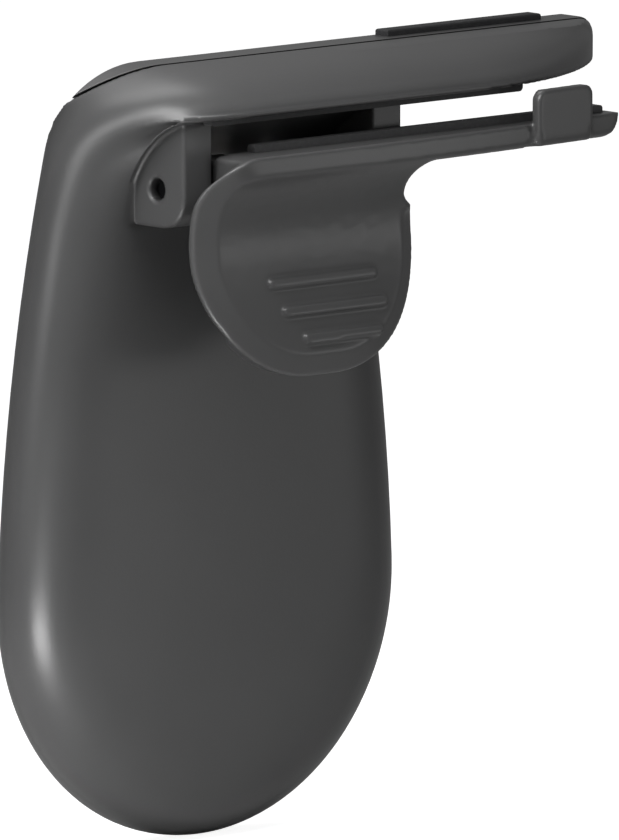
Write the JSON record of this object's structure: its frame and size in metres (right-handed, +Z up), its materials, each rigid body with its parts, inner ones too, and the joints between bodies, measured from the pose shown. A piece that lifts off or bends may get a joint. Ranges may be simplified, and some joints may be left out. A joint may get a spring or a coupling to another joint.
{
  "type": "magnetic car phone holder",
  "caption": "Dark grey magnetic phone holder for a car vent: a drop-shaped paddle under a long arm, with a sprung jaw and thumb tab that grip a louvre.",
  "frame": {"origin": "middle of the upper grip strip's seat face, where the louvre blade's top lies", "axes": "+X along the arm to its free tip, +Y away from the vent towards the phone, +Z up"},
  "size_m": [0.0687, 0.0186, 0.0696],
  "materials": {
    "shell_plastic": "satin moulded",
    "cover_plastic": "satin moulded",
    "lever_plastic": "satin moulded",
    "face_rubber": "matt",
    "grip_rubber": "matt",
    "top_rubber": "matt",
    "magnet_plating": "nickel plated",
    "yoke_steel": "zinc plated",
    "screw_steel": "zinc plated",
    "pin_steel": "plain",
    "spring_steel": "plain"
  },
  "bodies": {
    "holder": {"rear_shell": "shell_plastic", "front_cover": "cover_plastic", "face_pad": "face_rubber", "magnet_yoke": "yoke_steel", "magnet_1": "magnet_plating", "magnet_2": "magnet_plating", "magnet_3": "magnet_plating", "magnet_4": "magnet_plating", "magnet_5": "magnet_plating", "magnet_6": "magnet_plating", "cover_screw_1": "screw_steel", "cover_screw_2": "screw_steel", "cover_screw_3": "screw_steel", "cover_screw_4": "screw_steel", "upper_grip_pad": "grip_rubber", "arm_top_pad": "top_rubber", "hinge_pin": "pin_steel", "torsion_spring": "spring_steel"},
    "lever": {"clip_lever": "lever_plastic", "lower_grip_pad": "grip_rubber"}
  },
  "joints": [
    {"name": "lever_hinge", "type": "hinge", "parent": "holder", "child": "lever", "pos_m": [-0.0077, 0.00435, -0.0058], "axis": [1, 0, 0], "range_deg": [0, 26], "stiffness_Nm_per_rad": 0.03, "springref_deg": -57.3, "deforming": ["torsion_spring"]}
  ]
}
